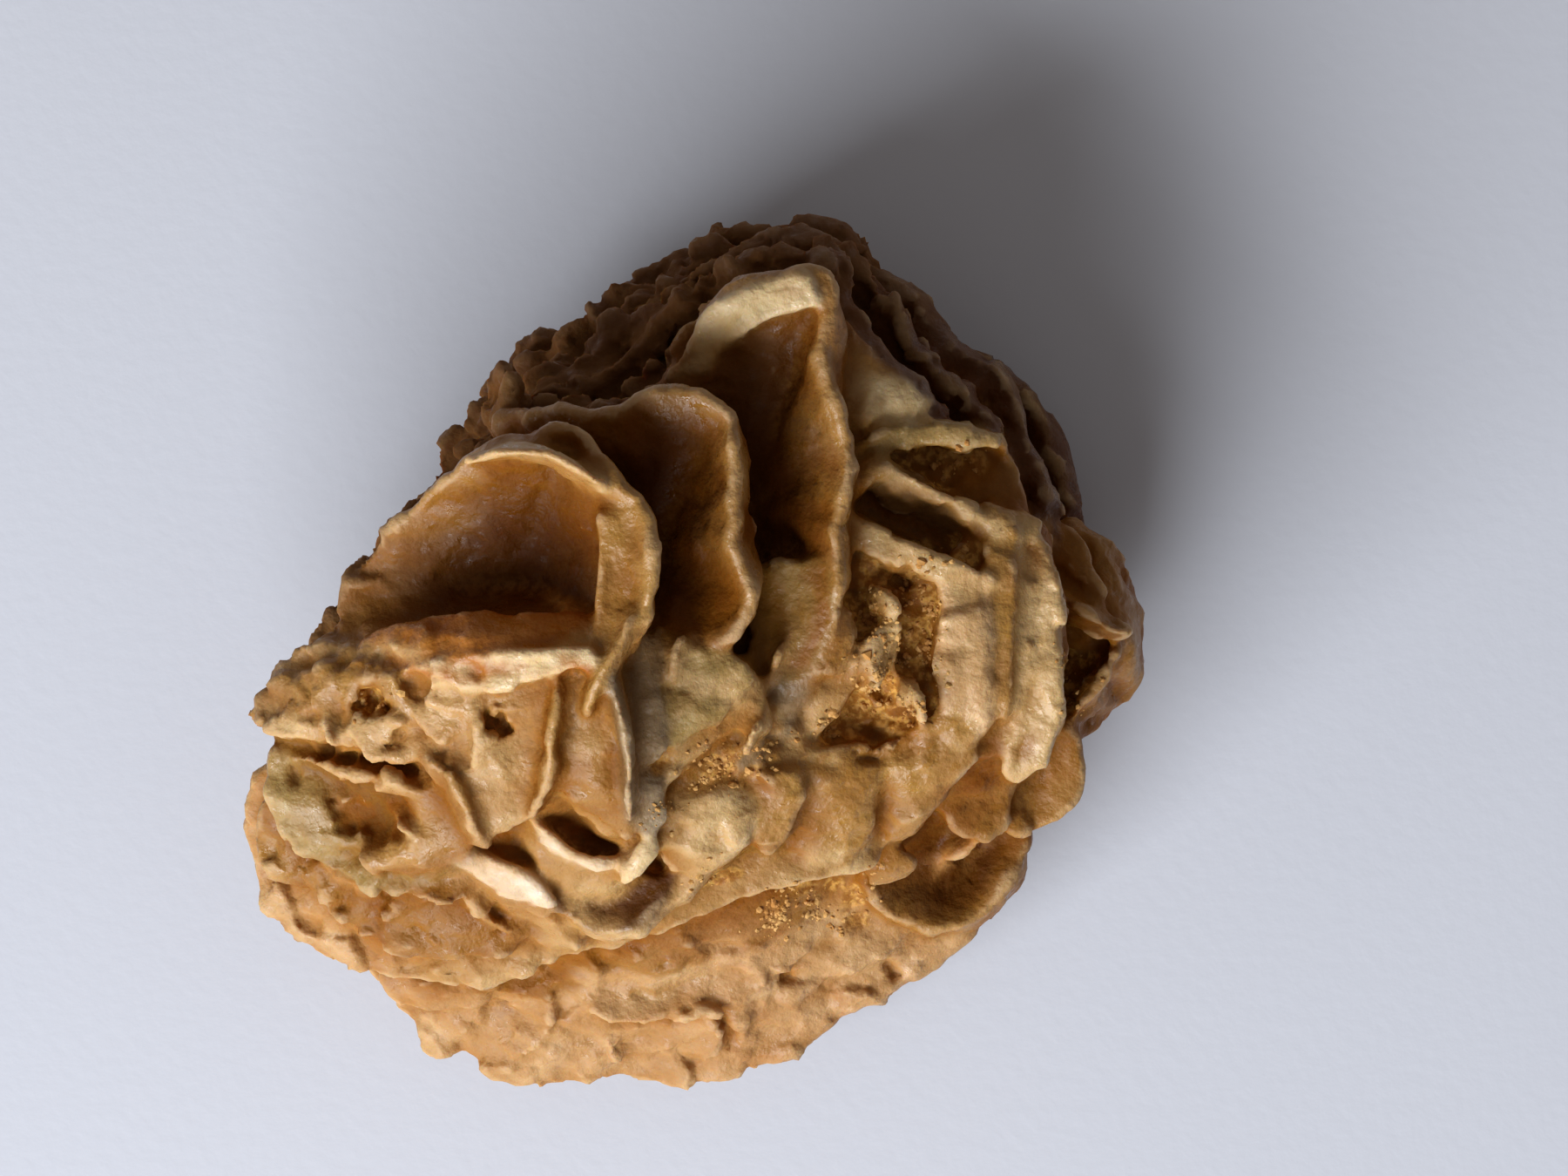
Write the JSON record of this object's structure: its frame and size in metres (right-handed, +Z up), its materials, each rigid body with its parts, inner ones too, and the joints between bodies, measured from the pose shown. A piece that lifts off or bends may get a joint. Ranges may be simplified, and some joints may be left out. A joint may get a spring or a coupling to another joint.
{
  "type": "gypsum sand rose",
  "caption": "Desert rose: a cluster of cupped, intergrown gypsum blades on a low disc, with a flat resting face underneath.",
  "frame": {"origin": "on the resting plane, under the middle of the bounding box", "axes": "+Z up, away from the resting face; +X along the longest side, from the terrace with the bars towards the far ridge; +Y towards the rough layered flank"},
  "size_m": [0.0814, 0.0778, 0.0497],
  "materials": {
    "gypsum": "waxy, honey brown, sandy in the hollows"
  },
  "bodies": {
    "root": {"sand_rose": "gypsum"}
  },
  "joints": []
}
